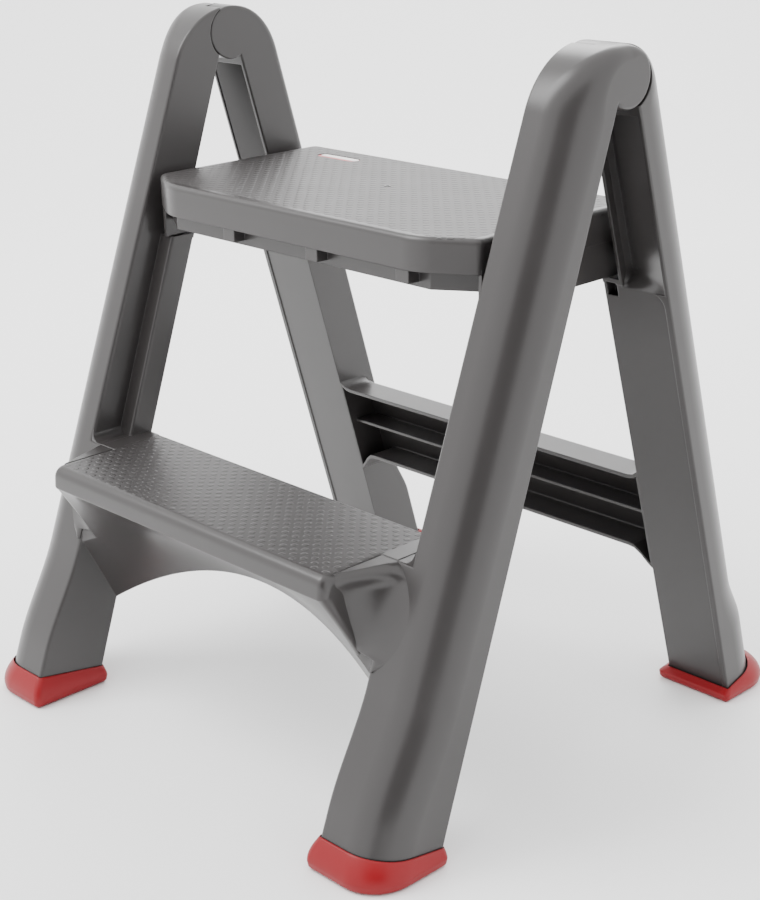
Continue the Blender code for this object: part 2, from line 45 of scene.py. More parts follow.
LEG_IN_LOW = 0.177                    # inner faces of the pads and of the lower legs
LEDGE_Z = 0.3807                      # top of the pads, the ledges that carry the top step
PAD_DEPTH = 0.024                     # of the front legs' pads, from the open side
WALL = 0.0035
GAP = 0.0003                          # between parts that touch
LAP_X = 0.213                         # plane where the two lobes of a hinge meet
LAP_PLAY = 0.0006                     # radial play around a lobe
HORN_TIP = 0.011                      # blunt end of the horn that wraps over the other lobe

# each frame's leg: side (-1 front, +1 rear), distance of its two long faces from the hinge line
# at hinge height, their slopes, and the outward kick near the foot
FRONT = dict(side=-1, face=0.0536, face_slope=0.370, open=0.0075, open_slope=0.347,
             kick=0.010, kick_top=0.128, kick_end=0.046, corner=0.033,
             bulge=(0.1890, 0.2647), rim=(0.0138, 0.175))
REAR = dict(side=1, face=0.0485, face_slope=0.290, open=0.0038, open_slope=0.290,
            kick=0.008, kick_top=0.114, kick_end=0.072, corner=0.034,
            bulge=(0.1505, 0.2235), rim=(0.0110, 0.270))
EDGE_R = 0.003                        # small inner corner of the legs
CHANNEL_TOP = 0.5125                  # top of the open part of the rear legs
PANEL_TOP = 0.3770                    # below this the legs are closed on their open side too

# ---- lower step -----------------------------------------------------------------------------
STEP_TOP = 0.216
STEP_NOSE_Y = -0.2135
STEP_LIP = 0.019                      # height of the rounded front edge
STEP_END = 0.165                      # end faces in front of the legs
STEP_HALF = 0.1785                    # end of the part between the legs
ARCH_MID, ARCH_END = 0.135, 0.073     # lower edge of the apron at the middle and at the legs
STEP_RIBS = (-0.118, -0.059, 0.0, 0.059, 0.118)

# ---- crossbar of the rear frame ---------------------------------------------------------------
BAR_LOW, BAR_HIGH = 0.129, 0.202
BAR_DEPTH = 0.036
BAR_FLARE = 0.0055, 0.0165            # upper and lower flare at the legs
BAR_RIB_Z = 0.165

# ---- top step -------------------------------------------------------------------------------
TOP_Z = 0.435
TOP_HALF = 0.183
TOP_FRONT, TOP_REAR = -0.0965, 0.1045
TOP_CHAMFER_X, TOP_CHAMFER_Y = 0.142, -0.0715
TOP_CORNER = 0.008                    # rear corners in plan
TOP_CROWN = 0.0045                    # rounding of the upper edge
FASCIA_Z = 0.409                      # lower edge of the front and of the rear edge
BAND_Y, BAND_Z = -0.0845, 0.395       # set-back band behind the finger grip
SKIRT_Z = LEDGE_Z + GAP
SKIRT_CORNER = 0.021
GRIP_RIBS = (-0.066, 0.031, 0.128)
STEP_PIN_Y, STEP_PIN_Z = 0.0835, 0.405
STEP_PIN_R = 0.004
HINGE_PIN_R = 0.005
BOSS_R = 0.009
PIN_PLAY = 0.00015
LABEL = (-0.121, 0.0755, 0.048, 0.012)  # centre x, centre y, length, width
LABEL_DEPTH = 0.0013

# ---- foot caps ------------------------------------------------------------------------------
FOOT_SOLE = 0.004
LEG_BOTTOM = FOOT_SOLE + GAP
FOOT_PLAY = 0.0006                    # between cap and leg
FOOT_RIM = 0.0017                     # how far the rim stands proud of the leg
FOOT_BULGE_Z = 0.009
FOOT_IN, FOOT_OUT = 0.1700, 0.2440    # sides of the cap at its widest

# ---- surfaces and studio --------------------------------------------------------------------
GREY = (0.031, 0.0283, 0.0280)
RED = (0.21, 0.0022, 0.0055)
SOFT_EDGE = 0.0013                    # rounding of the edges in the shading
GRAIN = 0.00003                       # depth of the fine grain
ROUGH_SPREAD = 0.035
TREAD_PITCH = 0.0058                  # of the staggered marks on both treads
TREAD_RELIEF = 0.00045
TREAD_FADE = 0.0005                   # soft border of a tread's field
TREAD_WEAR = 0.12                     # added roughness there
GATE_Y = 0.0165                       # injection gate mark on the top step
WORLD_STRENGTH = 2.4
STUDIO_YAW = 46                       # degrees; backdrop and flag are square to the camera
FLAG_FAR, FLAG_HALF, FLAG_HIGH = 2.3, 0.95, 2.0  # distance from the stool, half width, height
CAMERA_AT = (1.0025, -0.9612, 0.7170)
CAMERA_TURN = (46.1171, 19.8877, -0.9936)  # yaw, pitch and roll in degrees
CAMERA_LENS = 70.5896                 # mm
MERGE = 2e-6                          # vertices nearer than this are one


def mesh_object(name, bm):
    """Object from a bmesh, with doubled and degenerate bits cleaned away."""
    bmesh.ops.remove_doubles(bm, verts=bm.verts, dist=MERGE)
    bmesh.ops.dissolve_degenerate(bm, dist=MERGE, edges=bm.edges)
    bmesh.ops.recalc_face_normals(bm, faces=bm.faces)
    mesh = bpy.data.meshes.new(name)
    bm.to_mesh(mesh)
    bm.free()
    obj = bpy.data.objects.new(name, mesh)
    bpy.context.scene.collection.objects.link(obj)
    return obj


def skin(rings):
    """Closed body through rings of points that all have the same number of points."""
    bm = bmesh.new()
    loops = [[bm.verts.new(p) for p in ring] for ring in rings]
    n = len(loops[0])
    for a, b in zip(loops, loops[1:]):
        for i in range(n):
            j = (i + 1) % n
            bm.faces.new((a[i], a[j], b[j], b[i]))
    bm.faces.new(loops[0])
    bm.faces.new(loops[-1])
    return bm


def combine(target, other, how):
    """Boolean of target with other, which is used up."""
    mod = target.modifiers.new("cut", "BOOLEAN")
    mod.solver = "EXACT"
    mod.operation = how
    mod.object = other
    deps = bpy.context.evaluated_depsgraph_get()
    mesh = bpy.data.meshes.new_from_object(target.evaluated_get(deps))
    target.modifiers.clear()
    bm = bmesh.new()
    bm.from_mesh(mesh)
    bmesh.ops.remove_doubles(bm, verts=bm.verts, dist=MERGE)
    bmesh.ops.dissolve_degenerate(bm, dist=MERGE, edges=bm.edges)
    rim = [e for e in bm.edges if len(e.link_faces) == 1]
    if rim:
        bmesh.ops.holes_fill(bm, edges=rim, sides=8)
    bm.to_mesh(mesh)
    bm.free()
    old = target.data
    target.data = mesh
    bpy.data.meshes.remove(old)
    bpy.data.objects.remove(other)


def join(target, *others):
    for o in others:
        combine(target, o, "UNION")


def cut(target, *others):
    for o in others:
        combine(target, o, "DIFFERENCE")


def mirrored(obj, name):
    """Copy of a body reflected in the centre plane X = 0."""
    bm = bmesh.new()
    bm.from_mesh(obj.data)
    for v in bm.verts:
        v.co.x = -v.co.x
    bmesh.ops.reverse_faces(bm, faces=bm.faces)
    return mesh_object(name, bm)


def cylinder(name, x0, x1, y, z, r, n=64):
    """Round bar along X."""
    turns = [2 * pi * (i + 0.37) / n for i in range(n)]
    ring = [(y + r * cos(a), z + r * sin(a)) for a in turns]
    return mesh_object(name, skin([[(x, *p) for p in ring] for x in (x0, x1)]))


def box(name, x0, x1, y0, y1, z0, z1):
    """Upright block."""
    return prism(name, [(x0, y0), (x1, y0), (x1, y1), (x0, y1)], z0, z1)


def prism(name, outline, z0, z1):
    """Upright prism over an (x, y) outline."""
    return mesh_object(name, skin([[(x, y, z) for x, y in outline] for z in (z0, z1)]))


def slab(name, outline, x_in, x_out, r_in, r_out, n_in=5, n_out=14):
    """Prism along X over a (y, z) outline; r_in and r_out round each edge at its two ends."""
    n = len(outline)
    area = sum(outline[i - 1][0] * outline[i][1] - outline[i][0] * outline[i - 1][1]
               for i in range(n))
    turn = 1 if area > 0 else -1
    inward = []
    for i in range(n):
        (ay, az), (by, bz) = outline[i], outline[(i + 1) % n]
        length = hypot(by - ay, bz - az)
        inward.append((-(bz - az) * turn / length, (by - ay) * turn / length))

    def ring(x_end, way, radii, angle):
        pts = []
        for i, (y, z) in enumerate(outline):
            (py, pz), (qy, qz) = inward[i - 1], inward[i]
            rp, rq = radii[i - 1], radii[i]
            dp, dq = rp * (1 - cos(angle)), rq * (1 - cos(angle))
            det = py * qz - pz * qy
            if abs(det) > 0.4:
                oy, oz = (dp * qz - dq * pz) / det, (py * dq - qy * dp) / det
                r = max(rp, rq)
            else:
                my, mz = py + qy, pz + qz
                k = (dp + dq) / (my * my + mz * mz)
                oy, oz = my * k, mz * k
                r = (rp + rq) / 2
            pts.append((x_end + way * r * (1 - sin(angle)), y + oy, z + oz))
        return pts

    rings = [ring(x_in, 1, r_in, pi / 2 * (1 - k / n_in)) for k in range(n_in + 1)]
    rings += [ring(x_out, -1, r_out, pi / 2 * k / n_out) for k in range(n_out + 1)]
    return mesh_object(name, skin(rings))


def ease(t):
    """Smooth step from 0 to 1."""
    t = min(max(t, 0.0), 1.0)
    return t * t * (3 - 2 * t)


def face_u(leg, z):
    """Distance of the smooth outer long face from the hinge line at height z."""
    kick = leg["kick"] * ease((leg["kick_top"] - z) / (leg["kick_top"] - leg["kick_end"]))
    return leg["face"] + leg["face_slope"] * (PIVOT_Z - z) + kick


def open_u(leg, z):
    """Distance of the long face on the open side from the hinge line at height z."""
    return leg["open"] + leg["open_slope"] * (PIVOT_Z - z)


def face_y(leg, z):
    return PIVOT_Y + leg["side"] * face_u(leg, z)


def open_y(leg, z):
    return PIVOT_Y + leg["side"] * open_u(leg, z)


def face_heights(leg, z0, z1):
    """Heights that follow the kick of a long face between z0 and z1."""
    steps = [leg["kick_end"] + (leg["kick_top"] - leg["kick_end"]) * i / 15 for i in range(16)]
    return [z0] + [z for z in steps if z0 + 0.002 < z < z1 - 0.002] + [z1]


def leg_outline(leg, r_face, r_lobe, r_open):
    """Side outline of a whole leg with its arch and lobe, and the rounding of every edge."""
    beta = atan(leg["face_slope"])
    arch_r = (leg["face"] * cos(beta) - LOBE_R * sin(beta)) / (1 - sin(beta))
    centre = LOBE_R - arch_r
    tangent_z = PIVOT_Z + centre + arch_r * sin(beta)
    pts = [(face_u(leg, z), z) for z in face_heights(leg, LEG_BOTTOM, tangent_z)]
    radii = [r_face] * (len(pts) - 1)
    arch_n = 20
    r_top = r_lobe + (0.008 if r_face > 0.02 else 0.0)
    for i in range(1, arch_n + 1):
        a = beta + (pi / 2 - beta) * i / arch_n
        pts.append((arch_r * cos(a), PIVOT_Z + centre + arch_r * sin(a)))
        radii.append(r_face + (r_top - r_face) * ease((i - 1) / (arch_n - 2)))
    gamma = atan(leg["open_slope"])
    off = leg["open"] * cos(gamma)
    run = sqrt(LOBE_R ** 2 - off ** 2)
    neck = (off * cos(gamma) + run * sin(gamma), off * sin(gamma) - run * cos(gamma))
    end = atan2(neck[1], neck[0]) + 2 * pi
    lobe_n = 44
    for i in range(1, lobe_n + 1):
        a = pi / 2 + (end - pi / 2) * i / lobe_n
        pts.append((LOBE_R * cos(a), PIVOT_Z + LOBE_R * sin(a)))
        radii.append(r_lobe + (r_top - r_lobe) * (1 - ease(min(i / 12, 1))))
    for z in (CHANNEL_TOP, LEDGE_Z, LEG_BOTTOM):
        pts.append((open_u(leg, z), z))
        radii.append(r_open)
    radii.append(0.0)
    return [(PIVOT_Y + leg["side"] * u, z) for u, z in pts], radii


def band_outline(leg, z0, z1, inset, past):
    """Part of a leg's side outline between two heights, for the low inner wall and hollows."""
    heights = face_heights(leg, z0, z1)
    tilt = 1 / cos(atan(leg["face_slope"]))
    pts = [(face_u(leg, z) - inset * tilt, z) for z in heights]
    pts += [(open_u(leg, z) - past, z) for z in (z1, z0)]
    edges = len(heights) - 1
    return [(PIVOT_Y + leg["side"] * u, z) for u, z in pts], edges


def leg_band(name, leg, z0, z1, x0, x1, inset, past, r_in, r_out, n_out=14):
    """Solid between two heights of a leg, from x0 to x1."""
    outline, edges = band_outline(leg, z0, z1, inset, past)
    rest = len(outline) - edges
    return slab(name, outline, x0, x1, [r_in] * edges + [0.0] * rest,
                [r_out] * edges + [0.0] * rest, 5, n_out)


def rim_z(leg, u):
    """Height of the tilted rim of a foot cap at distance u from the hinge line."""
    low, slope = leg["rim"]
    return low + slope * (u - open_u(leg, low))


def foot_ring(leg, h, x0, x1, u0, u1, r_big, r_small, flat=None, n=14):
    """Rounded four-sided ring, at fraction h of the rim's height or flat at a given height."""
    stretch = 1 / cos(atan(leg["face_slope"]))
    corners = [(x1, u1, r_big, 0), (x1, u0, r_small, -90), (x0, u0, r_small, 180),
               (x0, u1, r_small + 0.001, 90)]
    pts = []
    for x, u, r, start in corners:
        ru = r * stretch
        cx = x - r if x == x1 else x + r
        cu = u - ru if u == u1 else u + ru
        for i in range(n + 1):
            a = radians(start + 90 * (1 - i / n))
            pu = cu + ru * sin(a)
            z = h * rim_z(leg, pu) if flat is None else flat
            pts.append((cx + r * cos(a), PIVOT_Y + leg["side"] * pu, z))
    return pts


def foot_cap(name, leg):
    """Cap flaring from its tilted rim to a bulge and rounding under to the sole."""
    low, slope = leg["rim"]
    u0 = open_u(leg, low)
    u1 = face_u(leg, low + slope * 0.06)
    b0, b1 = leg["bulge"]
    rim = (LEG_IN_LOW - FOOT_RIM, LEG_OUT + FOOT_RIM, u0 - FOOT_RIM, u1 + FOOT_RIM)
    bulge = (FOOT_IN, FOOT_OUT, b0, b1)
    big, small = leg["corner"], 0.0045
    rings = []
    for z, d in ((0.0, 0.0048), (0.0009, 0.0025), (0.0028, 0.0008)):
        lim = [b + d * way for b, way in zip(bulge, (1, -1, 1, -1))]
        rings.append(foot_ring(leg, 0, *lim, big - d, max(small - d, 0.0012), flat=z))
    for k in range(15):
        w = k / 14
        t = 1 - cos(pi / 2 * w)
        lim = [b + (r - b) * t for b, r in zip(bulge, rim)]
        h0 = FOOT_BULGE_Z * 0.75
        ring = foot_ring(leg, 1, *lim, big + (FOOT_RIM - 0.001) * t, small)
        rings.append([(x, y, h0 + (z - h0) * w if w < 1 else z) for x, y, z in ring])
    lim = [r + 0.0009 * way for r, way in zip(rim, (1, -1, 1, -1))]
    rings.append([(x, y, z + 0.0005)
                  for x, y, z in foot_ring(leg, 1, *lim, big - 0.0009, small - 0.0009)])
    cap = mesh_object(name, skin(rings))
    hollow = []
    for z in (FOOT_SOLE, 0.012, 0.020, 0.032):
        hollow.append(foot_ring(leg, 0, LEG_IN_LOW - FOOT_PLAY, LEG_OUT + FOOT_PLAY,
                                open_u(leg, z) - FOOT_PLAY, face_u(leg, z) + FOOT_PLAY,
                                big * 0.96, 0.0012, flat=z))
    cut(cap, mesh_object("hollow", skin(hollow)))
    return cap


def pad(name, leg, z0, z1, x0, x1, d, r):
    """Raised pad along the open side of a leg's inner wall, shrunk by d."""
    depth = PAD_DEPTH - d
    pts = [(open_u(leg, z0) + d, z0), (open_u(leg, z0) + depth, z0),
           (open_u(leg, z1) + depth, z1), (open_u(leg, z1) + d, z1)]
    outline = [(PIVOT_Y + leg["side"] * u, z) for u, z in pts]
    return slab(name, outline, x0, x1, [0.0, r, 0.0, 0.0], [0.0] * 4, 3, 1)


def leg_solid(leg):
    """One right-hand leg of a frame, hollow, with its hinge lobe.

    Above the ledge it is a channel open towards the other frame; below it is closed all round
    and open only at the foot end, inside the cap.
    """
    big = leg["corner"]
    outer, radii = leg_outline(leg, big, 0.003, 0.0015)
    inner = leg_outline(leg, EDGE_R if leg is FRONT else 0.0075, 0.0015, 0.0015)[1]
    body = slab("leg", outer, LEG_IN, LEG_OUT, inner, radii)
    low_top = LEDGE_Z if leg is REAR else STEP_TOP - 0.001
    join(body, leg_band("low", leg, LEG_BOTTOM, low_top, LEG_IN_LOW, LEG_IN + 0.012, 0.0, 0.0,
                        EDGE_R, 0.0, 1))
    inner_big = big - WALL
    cut(body, leg_band("hollow", leg, LEG_BOTTOM - 0.002, low_top - WALL, LEG_IN_LOW + WALL,
                       LEG_OUT - WALL, WALL, -WALL, 0.002, inner_big))
    if leg is FRONT:
        join(body, pad("pad", leg, STEP_TOP - 0.004, LEDGE_Z, LEG_IN_LOW, LEG_IN + 0.0015, 0.0,
                       EDGE_R))
        cut(body, pad("hollow", leg, STEP_TOP + 0.001, LEDGE_Z - WALL, LEG_IN_LOW + WALL,
                      LEG_IN + WALL + 0.001, WALL, 0.0))
    cut(body, leg_band("hollow", leg, low_top - WALL - 0.004, PANEL_TOP, LEG_IN + WALL,
                       LEG_OUT - WALL, WALL, -WALL, 0.002, inner_big),
        leg_band("hollow", leg, PANEL_TOP - 0.002, CHANNEL_TOP, LEG_IN + WALL,
                 LEG_OUT - WALL, WALL, 0.03, 0.002, inner_big))
    lo, hi = (LEG_IN - 0.02, LAP_X + GAP / 2) if leg is FRONT else (LAP_X - GAP / 2, LEG_OUT + 0.02)
    tip = sorted((PIVOT_Y + leg["side"] * HORN_TIP, PIVOT_Y - leg["side"] * 0.035))
    cut(body, box("tip", lo, hi, tip[0], tip[1], PIVOT_Z + 0.012, PIVOT_Z + 0.04))
    cut(body, cylinder("lap", lo, hi, PIVOT_Y, PIVOT_Z, LOBE_R + LAP_PLAY, 120))
    bore = (LAP_X - 0.001, LEG_OUT - 0.008) if leg is FRONT else (LEG_IN + 0.008, LAP_X + 0.001)
    cut(body, cylinder("bore", bore[0], bore[1], PIVOT_Y, PIVOT_Z, HINGE_PIN_R + PIN_PLAY))
    return body


def apron_section(x, d):
    """(y, z) outline of the lower step at station x, shrunk inwards by d."""
    t = abs(x) / STEP_HALF
    z_low = ARCH_MID + (ARCH_END - ARCH_MID) * t * t
    y_low = open_y(FRONT, z_low) - 0.001
    top, nose = STEP_TOP - d, STEP_NOSE_Y + d
    back = open_y(FRONT, STEP_TOP) - 0.005
    r = 0.0085
    pts = [(back, top)]
    for i in range(9):
        a = pi / 2 * (1 + i / 8)
        pts.append((nose + r + r * cos(a), top - r + r * sin(a)))
    z_lip = STEP_TOP - STEP_LIP + d * 0.35
    q = 0.0022                        # rounded lower edge of the lip
    for i in range(4):
        a = pi + pi / 2 * 0.8 * i / 3
        pts.append((nose - 0.0005 + q + q * cos(a), z_lip + q + q * sin(a)))
    lip = pts[-1]
    sag = 0.014 * (1 - t ** 4)
    end = (y_low, z_low + d * 1.15)
    my, mz = (lip[0] + end[0]) / 2 + sag * 0.6, (lip[1] + end[1]) / 2 + sag * 0.8
    for i in range(1, 17):
        s = i / 16
        a, b, c = (1 - s) ** 2, 2 * s * (1 - s), s * s
        pts.append((a * lip[0] + b * my + c * end[0], a * lip[1] + b * mz + c * end[1]))
    return pts


def clipped(section, d):
    """Lower step section kept behind the long face of the front legs."""
    return [(max(y, face_y(FRONT, z) + 0.0006 + d), z) for y, z in section]


def lower_step():
    """Low step with its arched apron and end brackets, cored from behind."""
    r = 0.0065
    ends = [(r * (1 - cos(pi / 2 * i / 8)), r * (1 - sin(pi / 2 * i / 8))) for i in range(9)]
    stations = [(-STEP_END + x, d) for x, d in ends]
    stations += [(-0.152 + 0.304 * i / 48, 0.0) for i in range(49)]
    stations += [(-x, d) for x, d in reversed(stations[:9])]
    body = mesh_object("step", skin([[(x, *p) for p in apron_section(x, d)]
                                     for x, d in stations]))
    for sx in (1, -1):
        xs = sorted((sx * (STEP_END - 0.008), sx * STEP_END, sx * (STEP_END + 0.006),
                     sx * STEP_HALF))
        join(body, mesh_object("end", skin([[(x, *p) for p in clipped(apron_section(x, 0.0), 0)]
                                            for x in xs])))
    wall = STEP_END - 0.0015
    edges = (-STEP_HALF + 0.0015, -wall) + STEP_RIBS + (wall, STEP_HALF - 0.0015)
    half = 0.00125
    for a, b in zip(edges, edges[1:]):
        x0, x1 = a + half, b - half
        rings = []
        for k in range(4):
            x = x0 + (x1 - x0) * k / 3
            sec = apron_section(x, WALL)
            if min(abs(x0), abs(x1)) > wall:
                sec = clipped(sec, WALL)
            back = sec[0][0] + 0.03
            sec = [(back, sec[0][1])] + sec[1:] + [(back + 0.02, sec[-1][1])]
            rings.append([(x, *p) for p in sec])
        cut(body, mesh_object("cell", skin(rings)))
    return body


def crossbar():
    """Channel between the rear legs, open to the front, with a rib along its middle."""
    def section(x, d, past):
        up = ease((abs(x) - 0.167) / (STEP_HALF - 0.167))
        down = ease((abs(x) - 0.154) / (STEP_HALF - 0.154))
        low = BAR_LOW - BAR_FLARE[1] * down ** 1.6 + d
        high = BAR_HIGH + BAR_FLARE[0] * up ** 1.6 - d
        pts = [(open_y(REAR, low) + 0.001 - past, low)]
        r = max(0.006 - d, 0.002)
        for i in range(4):
            a = -pi / 2 + pi / 2 * i / 3
            z = low + r + r * sin(a)
            pts.append((open_y(REAR, z) + BAR_DEPTH - d - r + r * cos(a), z))
        for i in range(4):
            a = pi / 2 * i / 3
            z = high - r + r * sin(a)
            pts.append((open_y(REAR, z) + BAR_DEPTH - d - r + r * cos(a), z))
        pts.append((open_y(REAR, high) + 0.001 - past, high))
        return pts
    xs = [-STEP_HALF, -0.1755, -0.172, -0.1665, -0.160, -0.154]
    xs += [-x for x in reversed(xs)]
    body = mesh_object("bar", skin([[(x, *p) for p in section(x, 0, 0)] for x in xs]))
    inner = [-STEP_HALF + 0.003] + xs[1:-1] + [STEP_HALF - 0.003]
    cut(body, mesh_object("hollow", skin([[(x, *p) for p in section(x, WALL, 0.03)]
                                          for x in inner])))
    y = open_y(REAR, BAR_RIB_Z)
    join(body, box("rib", -STEP_HALF + 0.001, STEP_HALF - 0.001, y + 0.008, y + BAR_DEPTH - 0.001,
                   BAR_RIB_Z - 0.00125, BAR_RIB_Z + 0.00125))
    return body


def moulding(name, leg, bridge):
    """Whole leg frame: a leg, its mirror image and what joins them."""
    right = leg_solid(leg)
    if leg is REAR:
        # boss beside the top step's skirt, and the window in the pad under the ledge
        join(right, cylinder("boss", TOP_HALF + 0.0007, LEG_IN + 0.002, STEP_PIN_Y, STEP_PIN_Z,
                             BOSS_R))
        cut(right, cylinder("bore", TOP_HALF - 0.002, LEG_IN + 0.012, STEP_PIN_Y, STEP_PIN_Z,
                            STEP_PIN_R + PIN_PLAY))
        z = LEDGE_Z - WALL
        cut(right, box("window", LEG_IN_LOW + 0.0025, LEG_IN - 0.003, open_y(REAR, z) - 0.01,
                       open_y(REAR, z) + 0.012, z - 0.011, z))
    left = mirrored(right, "left")
    right.name = name
    join(right, bridge, left)
    right.data.name = name
    return right


def rounded(before, point, after, run, n=8):
    """Corner of an outline rounded over a run on both sides."""
    p = Vector(point)
    a = p + (Vector(before) - p).normalized() * run
    b = p + (Vector(after) - p).normalized() * run
    return [tuple(a * (1 - t) ** 2 + p * 2 * t * (1 - t) + b * t * t)
            for t in (i / n for i in range(n + 1))]


def top_outline(inset):
    """Plan of the top step, from the rear right corner round by the rear edge to the front."""
    h = TOP_HALF - inset
    f, r = TOP_FRONT + inset, TOP_REAR - inset
    cy = TOP_CHAMFER_Y + inset * 0.4
    cx = TOP_CHAMFER_X - inset * 0.4
    c = max(TOP_CORNER - inset, 0.002)
    pts = []
    for sx in (1, -1):
        arc = [(sx * (h - c + c * cos(a)), r - c + c * sin(a))
               for a in (pi / 2 * i / 8 for i in range(9))]
        fr = rounded((sx * h, cy + 0.03), (sx * h, cy), (sx * cx, f), 0.004)
        fr += rounded((sx * h, cy), (sx * cx, f), (0.0, f), 0.013)
        pts += fr[::-1] + arc if sx > 0 else arc[::-1] + fr
    return pts


def top_step():
    """Top step: tray with a crowned edge, skirts, set-back band and ribs."""
    crown = [(TOP_CROWN * (1 - sin(pi / 2 * i / 8)), TOP_CROWN * (1 - cos(pi / 2 * i / 8)))
             for i in range(9)]
    rings = [[(x, y, TOP_Z - dz) for x, y in top_outline(d)] for d, dz in crown]
    rings.append([(x, y, FASCIA_Z) for x, y in top_outline(0.0)])
    body = mesh_object("top_step", skin(rings))
    cut(body, prism("hollow", top_outline(WALL), FASCIA_Z - 0.01, TOP_Z - WALL))
    # side skirts that stand on the ledges, with a round rear corner about the pivot pin
    for sx in (1, -1):
        y1 = TOP_REAR - 0.0015
        c = SKIRT_CORNER
        side = [(TOP_CHAMFER_Y + 0.001, FASCIA_Z + 0.004), (TOP_CHAMFER_Y + 0.001, SKIRT_Z)]
        for i in range(9):
            a = -pi / 2 + pi / 2 * i / 8
            side.append((y1 - c + c * cos(a), SKIRT_Z + c + c * sin(a)))
        side.append((y1, FASCIA_Z + 0.004))
        xs = sorted((sx * TOP_HALF - sx * 0.0002, sx * (TOP_HALF - WALL)))
        join(body, mesh_object("skirt", skin([[(x, *p) for p in side] for x in xs])))
    # set-back band: a second wall behind the front edge, running into the skirts
    shift = BAND_Y - TOP_FRONT
    cx, cy = TOP_CHAMFER_X + 0.004, TOP_CHAMFER_Y + shift - 0.006
    h = TOP_HALF - 0.001
    path = [(-h, cy + 0.004), (-cx, BAND_Y), (cx, BAND_Y), (h, cy + 0.004)]
    back = [(x * 0.985, y + WALL) for x, y in path]
    join(body, prism("band", path + back[::-1], BAND_Z, TOP_Z - 0.002))
    # stiffening ribs under the tread and the short ribs of the finger grip
    for x in (-0.108, -0.036, 0.036, 0.108):
        join(body, box("rib", x - 0.001, x + 0.001, BAND_Y + 0.001, TOP_REAR - 0.002,
                       TOP_Z - 0.020, TOP_Z - 0.002))
    for y in (-0.034, 0.014, 0.062):
        join(body, box("rib", -TOP_HALF + 0.002, TOP_HALF - 0.002, y - 0.001, y + 0.001,
                       TOP_Z - 0.016, TOP_Z - 0.0025))
    for x in GRIP_RIBS:
        join(body, box("grip", x - 0.0065, x + 0.0065, TOP_FRONT + 0.0012, BAND_Y + 0.001,
                       BAND_Z + 0.004, TOP_Z - 0.003))
    for sx in (1, -1):
        x0, x1 = sorted((sx * (TOP_HALF - 0.006), sx * (TOP_HALF + 0.002)))
        cut(body, cylinder("bore", x0, x1, STEP_PIN_Y, STEP_PIN_Z, STEP_PIN_R + PIN_PLAY, 24))
    cut(body, prism("slot", pill(LABEL, GAP), TOP_Z - LABEL_DEPTH, TOP_Z + 0.002))
    return body


def pill(spec, grow):
    """Outline of a slot with round ends, grown by a margin."""
    cx, cy, length, width = spec
    r = width / 2 + grow
    run = length / 2 - width / 2
    pts = []
    for sx, start in ((1, -pi / 2), (-1, pi / 2)):
        pts += [(cx + sx * run + r * cos(start + pi * i / 16), cy + r * sin(start + pi * i / 16))
                for i in range(17)]
    return pts


# ---- details that only the looks need ---------------------------------------------------------
def recessed_panel(body, leg):
    """Slightly sunk panel on the closed lower part of a leg's open side, round at its top."""
    x0, x1, r, d = LEG_IN_LOW - 0.004, LEG_OUT - 0.0052, 0.013, 0.0009
    z_top = PANEL_TOP - 0.0008
    heights = [0.002 + (z_top - r - 0.002) * i / 24 for i in range(25)]
    heights += [z_top - r + r * sin(pi / 2 * i / 10) for i in range(1, 11)]
    for sx in (1, -1):
        rings = []
        for z in heights:
            over = max(z - (z_top - r), 0.0)
            x = x1 - r + sqrt(max(r * r - over * over, 1e-10))
            rings.append([(sx * px, PIVOT_Y + leg["side"] * (open_u(leg, z) + off), z)
                          for px, off in ((x0, -0.02), (x, -0.02), (x, d), (x0, d))])
        cut(body, mesh_object("panel", skin(rings)))


def end_blend(name):
    """Concave web that runs the end of the low step into the long face of the leg."""
    profile = [(z, y) for y, z in apron_section(STEP_END, 0.003)][1:]
    z_hi, z_lo = STEP_TOP - 0.0006, 0.1380
    n, m = 44, 16                     # rings, and points across each
    x_step, x_leg = STEP_END - 0.0022, LEG_IN_LOW + 0.0012  # inner side, proud and flush
    x_outer, bow = 0.1790, 0.024      # outer side on the leg's long face, and its bow halfway down
    rings = []
    for i in range(n + 1):
        t = i / n
        z = z_hi - (z_hi - z_lo) * t
        ya = profile[-1][1]
        for (za, a), (zb, b) in zip(profile, profile[1:]):
            if za >= z >= zb:
                ya = a + (b - a) * (za - z) / max(za - zb, 1e-9)
        if z > profile[0][0]:
            ya = profile[0][1]
        yb = face_y(FRONT, z)
        proud = ease(min(max((yb - ya) / 0.0025, 0.0), 1.0))
        ya = min(ya, yb - 0.0003)
        xa = x_step * proud + x_leg * (1 - proud)
        xb = x_outer + bow * max(sin(pi * t), 0.0) ** 0.7
        deep = ease(t / 0.22)
        cx = (xa + xb) / 2 * (1 - deep) + (xa + 0.0035) * deep
        cy = (ya + yb) / 2 * (1 - deep) + (yb - 0.0030) * deep
        ring = []
        for k in range(m + 1):
            w = k / m
            p, q, r = (1 - w) ** 2, 2 * w * (1 - w), w * w
            ring.append((p * xa + q * cx + r * xb, p * ya + q * cy + r * (yb + 0.0001), z))
        ring += [(xb, yb + 0.003, z), (xa, yb + 0.003, z)]
        rings.append(ring)
    return mesh_object(name, skin(rings))


